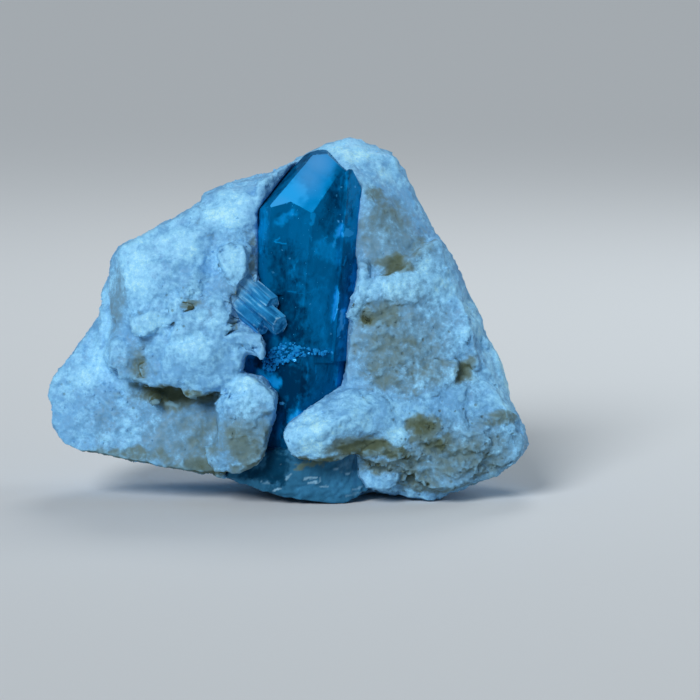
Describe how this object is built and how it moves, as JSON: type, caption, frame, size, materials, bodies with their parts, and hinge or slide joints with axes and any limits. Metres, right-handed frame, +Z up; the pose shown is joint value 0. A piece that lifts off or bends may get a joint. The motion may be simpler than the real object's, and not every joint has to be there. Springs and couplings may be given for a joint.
{
  "type": "aquamarine crystal specimen",
  "caption": "Blue hexagonal aquamarine prism with a sloping end face, grown in a broken lump of white feldspar, with a small pale side crystal; stands on a flat underside.",
  "frame": {"origin": "middle of the bounding box in X and Y, at the level of the surface that the specimen stands on", "axes": "+Z up, the crystal's exposed side faces -Y, +X to the viewer's right"},
  "size_m": [0.0701, 0.032, 0.0517],
  "materials": {
    "feldspar": "broken white feldspar, granular to smooth cleavage, olive brown stain in the hollows",
    "aquamarine": "clear deep blue crystal with glassy faces and inner veils",
    "pale_aquamarine": "pale blue glassy blades"
  },
  "bodies": {
    "root": {"feldspar_matrix": "feldspar", "aquamarine_crystal": "aquamarine", "side_crystal": "pale_aquamarine"}
  },
  "joints": []
}
